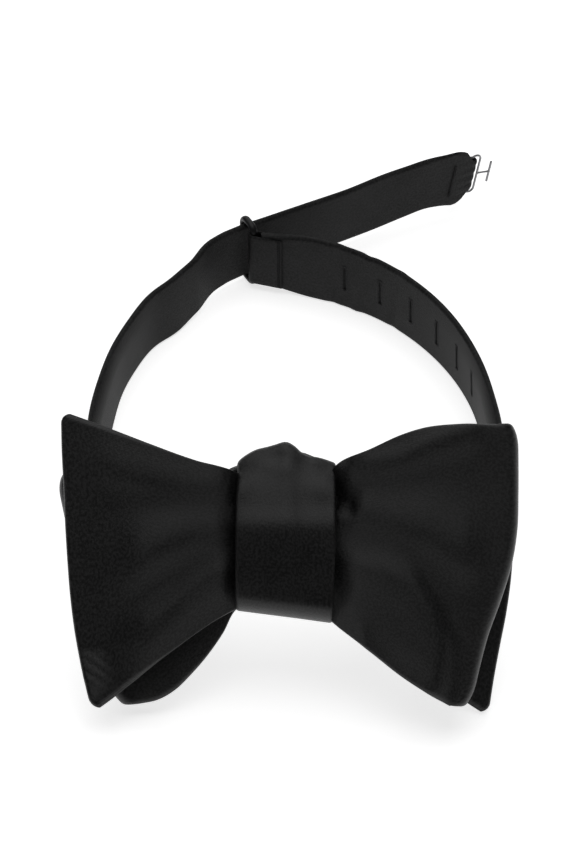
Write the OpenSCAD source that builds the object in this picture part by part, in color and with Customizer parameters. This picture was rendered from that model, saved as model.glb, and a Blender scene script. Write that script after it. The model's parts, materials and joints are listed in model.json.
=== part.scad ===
/* [Bow] */
// Height of an upper wing corner above the middle of the knot
wing_top = 35; // [28:0.5:38]
// Depth of a lower wing corner below the middle of the knot
wing_low = 47; // [38:0.5:48]
// Distance of the widest wing corner from the middle of the knot
wing_reach = 65.5; // [55:0.5:70]
// How far the bow leans back from upright when the tie stands on a table, in degrees
recline = 43; // [38:1:48]

/* [Knot] */
// Width of the wrap across the front of the knot
knot_w = 27.5; // [24:0.5:28]
// Height of the knot
knot_h = 43; // [41:0.5:46]
// Depth of the knot, front to back
knot_d = 22; // [22:0.5:25]

/* [Cloth] */
// Thickness of one ply of satin
satin_t = 0.5; // [0.4:0.05:0.6]
// Thickness of the interlining between two plies
interlining_t = 1.0; // [0.8:0.05:1.0]

/* [Neckband] */
// Width of the half that carries the slots
right_band_w = 24; // [23:0.5:25]
// Width of the half that runs through the ring
left_band_w = 21; // [20.5:0.5:21.5]
// Width of the free tail
tail_w = 20; // [19:0.5:20.5]
// Length of the free tail from the seam before the ring to its tab
tail_l = 82; // [78:1:86]
// Number of slots for the hook
slot_count = 6; // [4:1:7]
// Distance between two slots, half an inch of neck size
slot_pitch = 12.7; // [12:0.1:13]

/* [Hardware] */
// Thickness of the ring's wire
ring_wire = 1.8; // [1.6:0.1:2]
// Thickness of the hook's wire
hook_wire = 0.9; // [0.8:0.05:1]

/* [Hidden] */

satin = "#141414";
canvas = "#d8d2c4";
enamel = "#101012";
nickel = "#8f9194";
thread = "#0c0c0c";

// A blade or band is satin, interlining, satin. Offsets are measured from its middle surface.
ply_t = 2 * satin_t + interlining_t;
face_ply = [interlining_t / 2, ply_t / 2];
core_gap = 0.06;
core_ply = [core_gap - interlining_t / 2, interlining_t / 2 - core_gap];
back_ply = [-ply_t / 2, -interlining_t / 2];
// How far the interlining stops short of a sewn edge
seam = 1.5;

// The origin is on the table under the middle of the whole tie, so the neck loop lies round it.
// The bow's own frame sits in the knot: x right, y back through the knot, z up along the wings.
knot_y = -82.7;
knot_z = 38.6;

// Wings start just outside the knot, so that they can flex.
wing_start = 15.5;
pinch_half = 14.6;
knot_low = 19;
knot_high = 20;
wing_l = 45;
height_steps = 6;
path_steps = 18;
fold_steps = 8;

// The neck loop: each strap is one arc that stands on its edge.
left_side_x = -57.9;
left_side_y = -10.7;
left_radius = 114.05;
left_turn = 50.08;
right_side_x = 61.3;
right_side_y = -16.7;
right_radius = 94.31;
ring_turn = 76.22;
strap_gap = 0.2;
arc_steps = 28;

// The ring hangs in a tab at the end of the right strap. The tail runs through it.
tail_angle = 28;
tail_lift = 2.15;
throat_l = 11;
tab_t = 1;
tab_clearance = 0.5;
tab_l = 9;
tab_h = 19.6;
ring_r = ring_wire / 2;
ring_bar = [
    right_side_x - right_radius + right_radius * cos(ring_turn),
    right_side_y + right_radius * sin(ring_turn)
];
ring_span = 7.4;
// Height of the ring between the middles of its two short sides
ring_h = tail_w + 0.7 + ring_wire;

// Slots for the hook, counted along the right strap from the ring
first_slot = 30;
slot_h = 9;
slot_w = 1;
slot_rim = 0.9;
rim_t = 0.3;

// The hook's frame is a wire rectangle. Its stalk ends in a bar that goes through a slot.
hook_r = hook_wire / 2;
hook_droop = 12;
hook_frame_h = 14;
hook_frame_l = 3.4;
hook_stalk_l = 4.6;
hook_bar_l = 8;
hook_lift = 12;
hook_tab_h = 11.2;
hook_tab_l = 7;
// How far the hook's inner bar lies beyond the tail's end
hook_gap = 2.4;

function mix(a, b, s) = a + (b - a) * s;
function smooth(s) = s * s * (3 - 2 * s);
function turned(v, a) = [v[0] * cos(a) - v[1] * sin(a), v[0] * sin(a) + v[1] * cos(a)];
function unit(v) = v / norm(v);
function from_bow(p) = [
    p[0],
    knot_y + p[1] * cos(recline) + p[2] * sin(recline),
    knot_z - p[1] * sin(recline) + p[2] * cos(recline)
];

// The direction across a path of points, on its left-hand side
function across(path, i) = turned(
    unit(path[min(i + 1, len(path) - 1)] - path[max(i - 1, 0)]), 90
);
function shifted(path, by) = [for (i = [0:len(path) - 1]) path[i] + by * across(path, i)];
function backwards(list) = [for (i = [len(list) - 1:-1:0]) list[i]];
function arc(centre, radius, start, end, steps) = [
    for (i = [0:steps])
        let (a = mix(start, end, i / steps)) centre + radius * [cos(a), sin(a)]
];

// One ply in plan: the strip between two offsets from a path
module ply(path, offsets) {
    polygon(concat(shifted(path, offsets[0]), backwards(shifted(path, offsets[1]))));
}

// Triangles over a grid of points with `rows` rows of `columns`, one grid on each side of a ply
function grid_faces(rows, columns, first, flip) = [
    for (i = [0:rows - 2], j = [0:columns - 2])
        let (a = first + i * columns + j, b = a + 1, c = a + columns, d = c + 1)
            each flip ? [[a, b, d], [a, d, c]] : [[a, d, b], [a, c, d]]
];
function edge_faces(near, far) = [
    for (i = [0:len(near) - 2])
        each [[near[i], far[i + 1], near[i + 1]], [near[i], far[i], far[i + 1]]]
];
module slab(near, far, rows, columns) {
    total = rows * columns;
    low = [for (i = [0:rows - 1]) i * columns];
    high = [for (i = [0:rows - 1]) i * columns + columns - 1];
    start = [for (j = [0:columns - 1]) j];
    end = [for (j = [0:columns - 1]) (rows - 1) * columns + j];
    polyhedron(
        concat(near, far),
        concat(
            grid_faces(rows, columns, 0, true),
            grid_faces(rows, columns, total, false),
            edge_faces(backwards(low), [for (k = backwards(low)) k + total]),
            edge_faces(high, [for (k = high) k + total]),
            edge_faces(start, [for (k = start) k + total]),
            edge_faces(backwards(end), [for (k = backwards(end)) k + total])
        ),
        convexity = 6
    );
}

// A wing fans out from the knot. Its side view is a path of [distance from knot, y], and
// its outline is [reach at bottom, reach at top, depth of lower corner, height of upper corner].
function on_wing(outline, length, p, share) = let (s = p[0] / length) [
    wing_start + s * mix(outline[0], outline[1], share),
    p[1],
    mix(-mix(knot_low, outline[2], s), mix(knot_high, outline[3], s), share)
];
function wing_grid(outline, length, path, by, margin) = [
    for (p = shifted(path, by), j = [0:height_steps])
        on_wing(outline, length, p, mix(margin, 1 - margin, j / height_steps))
];
module wing_ply(outline, path, offsets, is_core) {
    length = wing_l;
    margin = is_core ? seam / (outline[2] + outline[3]) * 2 : 0;
    slab(
        wing_grid(outline, length, path, offsets[0], margin),
        wing_grid(outline, length, path, offsets[1], margin),
        len(path), height_steps + 1
    );
}
// A single layer runs from the knot to the hem; the core stops a seam short of it.
function end_path(y_knot, y_hem, bulge, length, cut) = [
    for (i = [0:path_steps])
        let (s = i / path_steps * (1 - cut / length))
            [s * length, mix(y_knot, y_hem, s) - bulge * 4 * s * (1 - s)]
];
// A folded layer runs out, round the fold and back. Its left-hand side is outside.
function fold_path(front_knot, front_tip, back_tip, back_knot, bulge, length) =
    let (r = (back_tip - front_tip) / 2, turn_x = length - r, mid = (front_tip + back_tip) / 2)
    concat(
        [for (i = [0:path_steps])
            let (s = i / path_steps)
                [s * turn_x, mix(back_knot, back_tip, s)]],
        [for (i = [1:fold_steps - 1])
            [turn_x + r * sin(180 * i / fold_steps), mid + r * cos(180 * i / fold_steps)]],
        [for (i = [path_steps:-1:0])
            let (s = i / path_steps)
                [s * turn_x, mix(front_knot, front_tip, s) - bulge * 4 * s * (1 - s)]]
    );

module in_bow() {
    translate([0, knot_y, knot_z]) rotate([-recline, 0, 0]) children();
}
module on_left() {
    mirror([1, 0, 0]) children();
}

// Front blade, left: its flat hemmed end. Front blade, right: where it folds.
// Back blade, left: where it folds. Back blade, right: its flat hemmed end.
front_left = [wing_low - 7.5, wing_top + 13.2, wing_low, wing_top];
front_right = [wing_low - 11, wing_top + 14.6, wing_low - 1, wing_top - 2.5];
back_left = [wing_low - 18, wing_reach - wing_start, wing_low - 0.3, wing_top - 13];
back_right = [wing_low - 5, wing_reach - wing_start - 0.3, wing_low + 1.5, wing_top - 9];
module front_left_end(offsets, is_core = false) {
    path = end_path(-5.4, -4.6, 2.4, wing_l, is_core ? seam : 0);
    in_bow() on_left() wing_ply(front_left, path, offsets, is_core);
}
module front_right_fold(offsets, is_core = false) {
    path = fold_path(-7, -9.6, -4.2, -3.6, 2, wing_l);
    in_bow() wing_ply(front_right, path, offsets, is_core);
}
module back_left_fold(offsets, is_core = false) {
    path = fold_path(-1.1, 0.8, 6.8, 1.8, 0, wing_l);
    in_bow() on_left() wing_ply(back_left, path, offsets, is_core);
}
module back_right_end(offsets, is_core = false) {
    path = end_path(0.4, 3.6, 0, wing_l, is_core ? seam : 0);
    in_bow() wing_ply(back_right, path, offsets, is_core);
}

// The knot is a wrap round the gathered middles of both blades and the ends of the neckband.
function rounded_box(half_y, half_z, r, steps = 6) = [
    for (q = [0:3], i = [0:steps])
        let (
            a = 90 * (q + i / steps),
            corner_y = (q == 0 || q == 3 ? 1 : -1) * (half_y - r),
            corner_z = (q < 2 ? 1 : -1) * (half_z - r)
        ) [corner_y + r * cos(a), corner_z + r * sin(a)]
];
// The wrap is an eighth narrower at the back than across the front.
module across_knot(width) {
    rotate([90, 0, 90]) linear_extrude(width, center = true) children();
}
module wrap_ring(outer, inner) {
    corner = 6;
    in_bow() across_knot(knot_w) difference() {
        polygon(rounded_box(knot_d / 2 - outer, knot_h / 2 - outer, corner - outer));
        polygon(rounded_box(knot_d / 2 - inner, knot_h / 2 - inner, corner - inner));
    }
}
module pinch(y_low, y_high, height) {
    in_bow() translate([0, (y_low + y_high) / 2, 0])
        across_knot(2 * pinch_half)
            polygon(rounded_box((y_high - y_low) / 2, height / 2, 2));
}
module tuck() {
    tuck_w = 30;
    tuck_h = 6.6;
    tuck_d = 11;
    in_bow() translate([-1.5, 2.5, knot_h / 2 + 0.1])
        rotate([90, 0, 0]) linear_extrude(tuck_d, center = true)
            polygon([
                for (a = [0:10:180]) [tuck_w / 2 * cos(a), tuck_h * sin(a)]
            ]);
}

// The narrow neck of a blade runs from the knot to its strap at the side of the neck.
// It leans with the bow at the knot and stands upright where the strap begins.
module neck(side_x, side_y, band_w, knot_depth, offsets, margin) {
    sign = side_x < 0 ? -1 : 1;
    start_x = sign * knot_w / 2;
    past_x = -sign * 9;
    at_knot = from_bow([0, knot_depth, -2]);
    steps = 20;
    stations = concat(
        [for (i = [0:steps])
            let (a = 90 * i / steps, s = smooth(i / steps))
                [
                    [
                        mix(start_x, side_x, cos(a)),
                        mix(side_y, at_knot[1], pow(sin(a), 1.3)),
                        mix(band_w / 2, at_knot[2], s)
                    ],
                    s * recline
                ]],
        [[[past_x, at_knot[1], at_knot[2]], recline]]
    );
    plan = [for (s = stations) [s[0][0], s[0][1]]];
    half = band_w / 2 - margin;
    // Inwards is to the left of the path on the left half, and to its right on the right half.
    edges = [
        for (i = [0:len(stations) - 1])
            let (
                inwards = -sign * across(plan, i),
                lean = stations[i][1],
                up = [inwards[0] * sin(lean), inwards[1] * sin(lean), cos(lean)],
                out = [inwards[0] * cos(lean), inwards[1] * cos(lean), -sin(lean)]
            )
                [stations[i][0], up * half, out]
    ];
    levels = [for (j = [0:height_steps]) 2 * j / height_steps - 1];
    near = [for (e = edges, k = levels) e[0] + k * e[1] + offsets[0] * e[2]];
    far = [for (e = edges, k = levels) e[0] + k * e[1] + offsets[1] * e[2]];
    if (sign < 0) slab(near, far, len(edges), height_steps + 1);
    else slab(far, near, len(edges), height_steps + 1);
}
module left_neck(offsets, margin = 0) {
    neck(left_side_x, left_side_y, left_band_w, 4.8, offsets, margin);
}
module right_neck(offsets, margin = 0) {
    neck(right_side_x, right_side_y, right_band_w, 7.2, offsets, margin);
}

left_path = arc(
    [left_side_x + left_radius, left_side_y], left_radius,
    180 - strap_gap, 180 - left_turn, arc_steps
);
module left_strap(offsets, margin = 0) {
    translate([0, 0, margin]) linear_extrude(left_band_w - 2 * margin) ply(left_path, offsets);
}

right_centre = [right_side_x - right_radius, right_side_y];
strap_end_turn = ring_turn - 2.2 / right_radius * 180 / PI;
// The strap narrows over its last stretch, so that its end fits inside the ring.
module right_strap(offsets, margin = 0) {
    taper_turn = 12;
    difference() {
        translate([0, 0, margin])
            linear_extrude(right_band_w - 2 * margin)
                ply(arc(right_centre, right_radius, strap_gap, strap_end_turn, arc_steps), offsets);
        taper(strap_end_turn - taper_turn, tail_lift + margin);
        slots(slot_w, slot_h, 10);
    }
}
// Cuts the strap's end to the height of the tab, above and below
module taper(start_turn, rise) {
    top_cut = right_band_w - rise - tab_h;
    block = 2 * taper_length();
    translate([right_centre[0], right_centre[1], 0]) rotate([0, 0, start_turn])
        for (flat = [[-block, -1], [rise + tab_h, 1]])
            translate([right_radius, 0, 0]) rotate([90, 0, 90])
                linear_extrude(12, center = true)
                    polygon(
                        flat[1] < 0
                            ? [[0, -1], [taper_length(), rise], [block, rise], [block, -1]]
                            : [[0, right_band_w + 1], [0, right_band_w],
                               [taper_length(), right_band_w - top_cut],
                               [block, right_band_w - top_cut], [block, right_band_w + 1]]
                    );
}
function taper_length() = 11;
module slots(width, height, depth) {
    for (i = [0:slot_count - 1])
        at_slot(i) cube([depth, width, height], center = true);
}
module at_slot(i) {
    turn = ring_turn - (first_slot + i * slot_pitch) / right_radius * 180 / PI;
    translate([right_centre[0], right_centre[1], right_band_w / 2])
        rotate([0, 0, turn]) translate([right_radius, 0, 0]) children();
}
// Buttonhole stitching: a raised rim round each slot, on the side towards the neck
module slot_stitching() {
    color(thread) for (i = [0:slot_count - 1])
        at_slot(i) translate([-ply_t / 2 - rim_t / 2 - 0.08, 0, 0]) difference() {
            cube([rim_t, slot_w + 2 * slot_rim, slot_h + 2 * slot_rim], center = true);
            cube([2 * rim_t, slot_w, slot_h], center = true);
        }
}

// The tab is a strip of satin round the ring's bar, sewn to both sides of the strap's end.
function tab_path(length, r) = concat(
    [[length, -r]],
    [for (i = [0:10]) [-r * sin(18 * i), -r * cos(18 * i)]],
    [[length, r]]
);
tab_r = ply_t / 2 + tab_clearance / 2 + tab_t / 2;
module tab(length, r, height) {
    linear_extrude(height) ply(tab_path(length, r), [-tab_t / 2, tab_t / 2]);
}
module at_ring() {
    translate([ring_bar[0], ring_bar[1], 0]) rotate([0, 0, ring_turn - 92.7]) children();
}
module ring_tab() {
    color(satin) at_ring() translate([0, 0, tail_lift + 0.2]) tab(tab_l, tab_r, tab_h - 0.4);
}
module stitch_line(x, y, low, high, count) {
    pitch = (high - low) / count;
    for (i = [0:count - 1])
        translate([x, y, low + (i + 0.15) * pitch]) cylinder(h = 0.7 * pitch, r = 0.2, $fn = 16);
}
module ring_tab_stitching() {
    clear = tab_r + tab_t / 2 + 0.22;
    color(thread) at_ring()
        for (side = [-1, 1])
            stitch_line(tab_l - 1.2, side * clear, tail_lift + 0.8, tail_lift + tab_h - 0.8, 9);
}

// A wire bent into a rectangle that lies in the xy plane, with the middle of one side at the
// origin and that side along y
module wire_loop(length, height, r, bend) {
    for (corner = [[0, 1, 90], [1, 1, 0], [1, 0, -90], [0, 0, 180]])
        translate([
            mix(bend, length - bend, corner[0]), mix(bend, height - bend, corner[1]) - height / 2
        ])
            rotate([0, 0, corner[2]]) rotate_extrude(angle = 90, $fn = 48)
                translate([bend, 0]) circle(r = r, $fn = 24);
    for (side = [0, 1]) {
        translate([side * length, bend - height / 2, 0]) rotate([-90, 0, 0])
            cylinder(h = height - 2 * bend, r = r, $fn = 24);
        translate([bend, (side - 0.5) * height, 0]) rotate([0, 90, 0])
            cylinder(h = length - 2 * bend, r = r, $fn = 24);
    }
}
module adjuster_ring() {
    color(enamel) translate([ring_bar[0], ring_bar[1], ring_r + ring_h / 2])
        rotate([90, 0, tail_angle + 90]) wire_loop(ring_span, ring_h, ring_r, 1.6);
}

// The tail carries straight on from the left strap, through the ring.
tail_start = left_path[arc_steps] + 0.5 * turned([1, 0], tail_angle);
module on_tail() {
    translate([tail_start[0], tail_start[1], tail_lift]) rotate([0, 0, tail_angle]) children();
}
module tail_throat() {
    color(satin) on_tail() translate([0, -ply_t / 2, 0]) cube([throat_l, ply_t, tail_w]);
}
module tail_layer(offsets, margin = 0) {
    start = throat_l + 0.3;
    on_tail() translate([start, offsets[0], margin])
        difference() {
            cube([tail_l - start - margin, offsets[1] - offsets[0], tail_w - 2 * margin]);
            tail_corners(tail_l - start - margin, tail_w - 2 * margin);
        }
}
// The tail's end is rounded off to the width of the hook's tab.
module tail_corners(length, width) {
    cut = 3.6;
    for (up = [0, 1])
        translate([length, -1, up * width]) rotate([0, 45, 0])
            translate([-cut / sqrt(2), 0, -cut / sqrt(2)])
                cube([cut * sqrt(2), 4, cut * sqrt(2)]);
}

// The hook hangs in a tab at the tail's end, drooping a little in the tail's plane.
module at_hook() {
    on_tail() translate([tail_l + hook_gap, 0, hook_lift - tail_lift])
        rotate([0, hook_droop, 0]) children();
}
module hook_tab() {
    color(satin) difference() {
        at_hook() translate([0, 0, -hook_tab_h / 2])
            rotate([0, 0, 180]) tab(hook_tab_l, tab_r, hook_tab_h);
        at_hook() cylinder(h = 40, r = hook_r + 0.2, center = true, $fn = 32);
    }
}
module hook_tab_stitching() {
    clear = tab_r + tab_t / 2 + 0.22;
    color(thread) at_hook()
        for (side = [-1, 1])
            stitch_line(
                1 - hook_tab_l, side * clear, 0.6 - hook_tab_h / 2, hook_tab_h / 2 - 0.6, 6
            );
}
module t_hook() {
    bar_x = hook_frame_l + hook_stalk_l;
    color(nickel) at_hook() {
        rotate([90, 0, 0]) wire_loop(hook_frame_l, hook_frame_h, hook_r, 1);
        translate([hook_frame_l, 0, 0]) rotate([0, 90, 0])
            cylinder(h = hook_stalk_l, r = hook_r, $fn = 24);
        translate([bar_x, 0, -hook_bar_l / 2]) cylinder(h = hook_bar_l, r = hook_r, $fn = 24);
    }
}

module knot_wrap_face() {
    color(satin) wrap_ring(0, satin_t);
}
module knot_wrap_interlining() {
    color(canvas) wrap_ring(satin_t, satin_t + interlining_t);
}
module knot_wrap_backing() {
    color(satin) wrap_ring(satin_t + interlining_t, ply_t);
}
module knot_tuck() {
    color(satin) tuck();
}
module front_blade_pinch() {
    color(satin) pinch(-8.2, -2.7, 36);
}
module back_blade_pinch() {
    color(satin) pinch(-2.2, 2.8, 34);
}

knot_wrap_face();
knot_wrap_interlining();
knot_wrap_backing();
knot_tuck();
front_blade_pinch();
back_blade_pinch();
color(satin) front_left_end(face_ply);  // front_left_end_face
color(canvas) front_left_end(core_ply, true);  // front_left_end_interlining
color(satin) front_left_end(back_ply);  // front_left_end_backing
color(satin) front_right_fold(face_ply);  // front_right_fold_face
color(canvas) front_right_fold(core_ply, true);  // front_right_fold_interlining
color(satin) front_right_fold(back_ply);  // front_right_fold_backing
color(satin) back_left_fold(face_ply);  // back_left_fold_face
color(canvas) back_left_fold(core_ply, true);  // back_left_fold_interlining
color(satin) back_left_fold(back_ply);  // back_left_fold_backing
color(satin) back_right_end(face_ply);  // back_right_end_face
color(canvas) back_right_end(core_ply, true);  // back_right_end_interlining
color(satin) back_right_end(back_ply);  // back_right_end_backing
color(satin) left_neck(face_ply);  // left_neck_face
color(canvas) left_neck(core_ply, seam);  // left_neck_interlining
color(satin) left_neck(back_ply);  // left_neck_backing
color(satin) right_neck(face_ply);  // right_neck_face
color(canvas) right_neck(core_ply, seam);  // right_neck_interlining
color(satin) right_neck(back_ply);  // right_neck_backing
color(satin) left_strap(face_ply);  // left_strap_face
color(canvas) left_strap(core_ply, seam);  // left_strap_interlining
color(satin) left_strap(back_ply);  // left_strap_backing
color(satin) right_strap(face_ply);  // right_strap_face
color(canvas) right_strap(core_ply, seam);  // right_strap_interlining
color(satin) right_strap(back_ply);  // right_strap_backing
slot_stitching();
ring_tab();
ring_tab_stitching();
adjuster_ring();
tail_throat();
color(satin) tail_layer(face_ply);  // tail_face
color(canvas) tail_layer(core_ply, seam);  // tail_interlining
color(satin) tail_layer(back_ply);  // tail_backing
hook_tab();
hook_tab_stitching();
t_hook();
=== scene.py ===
# %% [markdown]
# # A tied satin bow tie
# The part is a self-tie bow tie that stands on a table: four wings and a knot in front, and a
# neckband that runs back to a ring, where a free tail with a T-shaped hook goes on.
# The imported CAD part is the frame. It fixes where every piece is and how it moves. This script
# makes the cloth, the stitches and the metal that are seen, and hangs most of the pieces on bodies.

import json
import math

import bpy
import numpy as np
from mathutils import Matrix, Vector


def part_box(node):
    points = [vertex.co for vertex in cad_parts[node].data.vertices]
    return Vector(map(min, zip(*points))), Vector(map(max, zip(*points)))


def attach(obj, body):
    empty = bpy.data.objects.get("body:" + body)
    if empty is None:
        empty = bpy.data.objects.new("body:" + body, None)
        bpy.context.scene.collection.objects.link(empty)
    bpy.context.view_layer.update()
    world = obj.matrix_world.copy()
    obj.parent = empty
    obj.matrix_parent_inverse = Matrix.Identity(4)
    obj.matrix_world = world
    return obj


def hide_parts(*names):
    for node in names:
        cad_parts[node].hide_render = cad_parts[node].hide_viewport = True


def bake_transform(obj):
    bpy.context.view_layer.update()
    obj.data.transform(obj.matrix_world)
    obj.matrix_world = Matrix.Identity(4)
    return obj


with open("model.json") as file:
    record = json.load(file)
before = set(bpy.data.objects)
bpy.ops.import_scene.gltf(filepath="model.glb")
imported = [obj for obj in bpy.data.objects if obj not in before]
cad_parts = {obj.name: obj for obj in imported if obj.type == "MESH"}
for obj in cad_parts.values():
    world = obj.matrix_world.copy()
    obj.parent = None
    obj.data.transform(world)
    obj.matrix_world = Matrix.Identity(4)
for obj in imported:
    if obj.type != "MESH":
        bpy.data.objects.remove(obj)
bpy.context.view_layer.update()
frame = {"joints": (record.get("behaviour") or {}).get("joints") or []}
joints = {joint["name"]: joint for joint in frame["joints"]}

# %% [markdown]
# The bow leans back on the table, so it has axes of its own: x to the right, y back through the
# knot and z up along the wings. The wings' hinges run along that z, which gives the lean, and the
# middle of the knot's wrap gives the origin. Every bow shape below is written in these axes.

# %% The bow's own axes
MM = 0.001
UP = Vector(joints["front_left_flex"]["axis"]).normalized()
BACK = Vector((0, UP.z, -UP.y))
wrap_low, wrap_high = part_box("knot_wrap_face")
KNOT = (wrap_low + wrap_high) / 2
KNOT_HALF = (wrap_high.x - wrap_low.x) / 2
BOW_AXES = np.array([(1, 0, 0), tuple(BACK), tuple(UP)])


def from_bow(points):
    """Points in the bow's axes, in metres, as points in the frame."""
    return np.asarray(points) @ BOW_AXES + np.array(KNOT)


LEAN = math.degrees(math.atan2(UP.y, UP.z))
print(f"the bow leans back by {LEAN:.1f} degrees, and the knot is {2 * KNOT_HALF:.4f} m wide")

# %% [markdown]
# ## Camera
# The camera looks down at the table, nearly square on to the leaning bow. A long lens from over a
# metre away keeps the perspective weak, so the wings and the band behind them keep their sizes.

# %% Camera
CAMERA_ELEVATION = math.radians(42)
CAMERA_DISTANCE = 1.2
AIM = Vector((0, -52.7 * MM, 52.7 * MM))
camera_data = bpy.data.cameras.new("camera")
camera_data.lens = 175
camera = bpy.data.objects.new("camera", camera_data)
towards_camera = Vector((0, -math.cos(CAMERA_ELEVATION), math.sin(CAMERA_ELEVATION)))
camera.location = AIM + towards_camera * CAMERA_DISTANCE
camera.rotation_euler = (math.pi / 2 - CAMERA_ELEVATION, 0, 0)
bpy.context.scene.collection.objects.link(camera)
bpy.context.scene.camera = camera
print("camera at", [round(value, 3) for value in camera.location])

# %% [markdown]
# ## Writing materials as sums
# A material is a graph of nodes. Long lists of links are hard to read, so one small class wraps
# an output socket and overloads the arithmetic operators, and `Material.node` makes any other
# node from its type, its settings and its inputs.


# %% Shader maths helper
class Value:
    """An output socket that can be used in Python sums."""

    def __init__(self, material, socket):
        self.material, self.socket = material, socket

    def _math(self, operation, *others):
        settings = {"operation": operation}
        return self.material.node("ShaderNodeMath", settings, {
            index: other for index, other in enumerate((self, *others))
        })

    def __add__(self, other):
        return self._math("ADD", other)

    def __mul__(self, other):
        return self._math("MULTIPLY", other)

    def __rsub__(self, other):
        return self.material.node(
            "ShaderNodeMath", {"operation": "SUBTRACT"}, {0: other, 1: self}
        )

    def __sub__(self, other):
        return self._math("SUBTRACT", other)

    def sine(self):
        return self._math("SINE")

    def power(self, exponent):
        return self._math("POWER", exponent)

    def at_least(self, other):
        return self._math("MAXIMUM", other)

    __radd__, __rmul__ = __add__, __mul__


class Material:
    """A material whose nodes are written as expressions."""

    def __init__(self, name):
        self.made = bpy.data.materials.new(name)
        self.made.use_nodes = True
        self.tree = self.made.node_tree
        self.shader = self.tree.nodes["Principled BSDF"]

    def node(self, kind, settings=None, inputs=None, output=0):
        """A node of that type, its settings set first, then the values or links of its sockets."""
        made = self.tree.nodes.new(kind)
        for name, setting in (settings or {}).items():
            setattr(made, name, setting)
        for name, given in (inputs or {}).items():
            if isinstance(given, Value):
                self.tree.links.new(given.socket, made.inputs[name])
            else:
                made.inputs[name].default_value = given
        return Value(self, made.outputs[output])

    def noise(self, vector, size, detail=2.0):
        """Cloudy noise whose features are about as large as size."""
        return self.node(
            "ShaderNodeTexNoise", inputs={"Vector": vector, "Scale": 1 / size, "Detail": detail}
        )

    def bump(self, height, strength, distance):
        return self.node(
            "ShaderNodeBump", inputs={"Height": height, "Strength": strength, "Distance": distance}
        )

    def between(self, factor, first, second):
        """A colour between two others. Sockets 6 and 7 of the Mix node are its two colours."""
        return self.node(
            "ShaderNodeMix", {"data_type": "RGBA"},
            {"Factor": factor, 6: (*first, 1), 7: (*second, 1)}, output=2,
        )

    def finish(self, **inputs):
        """Sets the shader's sockets. Capitals and spaces of a socket's name are added here."""
        for name, given in inputs.items():
            socket = self.shader.inputs[name.replace("_", " ").title().replace("Ior", "IOR")]
            if isinstance(given, Value):
                self.tree.links.new(given.socket, socket)
            else:
                socket.default_value = given
        return self.made


# %% [markdown]
# ## Satin
# Satin is woven so that long threads float over the face. They lie side by side and give a soft
# gloss, broken by a fine grain where they dip under. Black satin keeps little of the light: what
# shows is that gloss, so the colour is nearly black and the bump and the roughness do the work.
# Each cloth mesh carries a map called `weave`, in metres along and across the cloth, so the
# threads have their true size and follow every fold.

# %% Satin
THREAD_PITCH = 0.24 * MM
FLOAT_LENGTH = 1.3 * MM


def satin(name, colour, roughness, gloss, speckle):
    """Woven satin with fine grain, thread lines and slow changes of tone."""
    cloth = Material(name)
    weave = cloth.node("ShaderNodeUVMap", {"uv_map": "weave"})
    parts = {"Vector": weave}
    along = cloth.node("ShaderNodeSeparateXYZ", inputs=parts, output=0)
    across = cloth.node("ShaderNodeSeparateXYZ", inputs=parts, output=1)
    grain = cloth.noise(weave, 0.75 * MM, 3.0)
    slubs = cloth.noise(weave, 9 * MM)
    # Threads run along the cloth, and each dips a little further on than its neighbour.
    threads = (across * (2 * math.pi / THREAD_PITCH)).sine()
    step = across * (0.37 * FLOAT_LENGTH / THREAD_PITCH) + along
    dips = (step * (2 * math.pi / FLOAT_LENGTH)).sine().at_least(0.0)
    relief = grain * 1.3 + threads * 0.16 + dips * 0.14
    bump = cloth.bump(relief, 0.9, 0.08 * MM)
    darker = [channel * 0.1 for channel in colour]
    # Noise keeps to the middle of its range, so it is stretched to reach both tones.
    contrast = (grain - 0.5) * speckle + (slubs - 0.5) * 1.2 + 0.5
    tone = cloth.between(contrast, darker, colour)
    rough = grain * 0.36 + slubs * 0.14 + (roughness - 0.25)
    return cloth.finish(base_color=tone, roughness=rough, normal=bump, specular_ior_level=gloss)


bow_satin = satin("bow_satin", (0.0092, 0.0092, 0.0094), 0.39, 0.34, 8.0)
band_satin = satin("band_satin", (0.0205, 0.0205, 0.0208), 0.64, 0.19, 3.0)
print("satins:", bow_satin.name, band_satin.name)

# %% [markdown]
# ## Thread, enamel and nickel
# Sewing thread is two strands twisted together, so it gets slanting grooves. The ring is steel
# with black enamel, which is glossy with slight waves. The hook is thin nickel-plated wire: grey,
# rubbed brighter in places, with fine lines drawn along the wire.


# %% Thread, enamel and nickel
def thread_finish():
    thread = Material("sewing_thread")
    weave = thread.node("ShaderNodeUVMap", {"uv_map": "weave"})
    along = thread.node("ShaderNodeSeparateXYZ", inputs={"Vector": weave}, output=0)
    round_it = thread.node("ShaderNodeSeparateXYZ", inputs={"Vector": weave}, output=1)
    twist = (along * (2 * math.pi / (0.5 * MM)) + round_it * (2 * math.pi / (0.8 * MM))).sine()
    fuzz = thread.noise(weave, 0.2 * MM)
    bump = thread.bump(twist + fuzz, 0.8, 0.05 * MM)
    return thread.finish(
        base_color=(0.011, 0.011, 0.012, 1), roughness=fuzz * 0.2 + 0.5, normal=bump,
        specular_ior_level=0.35,
    )


def enamel_finish():
    enamel = Material("black_enamel")
    spot = enamel.node("ShaderNodeTexCoord", output=3)
    waves = enamel.noise(spot, 1.5 * MM)
    worn = enamel.noise(spot, 4 * MM, 6.0)
    bump = enamel.bump(waves, 0.25, 0.05 * MM)
    tone = enamel.between(worn.power(3.0), (0.004, 0.004, 0.0045), (0.02, 0.02, 0.021))
    return enamel.finish(
        base_color=tone, roughness=worn * 0.3 + 0.22, normal=bump, specular_ior_level=0.25
    )


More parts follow.
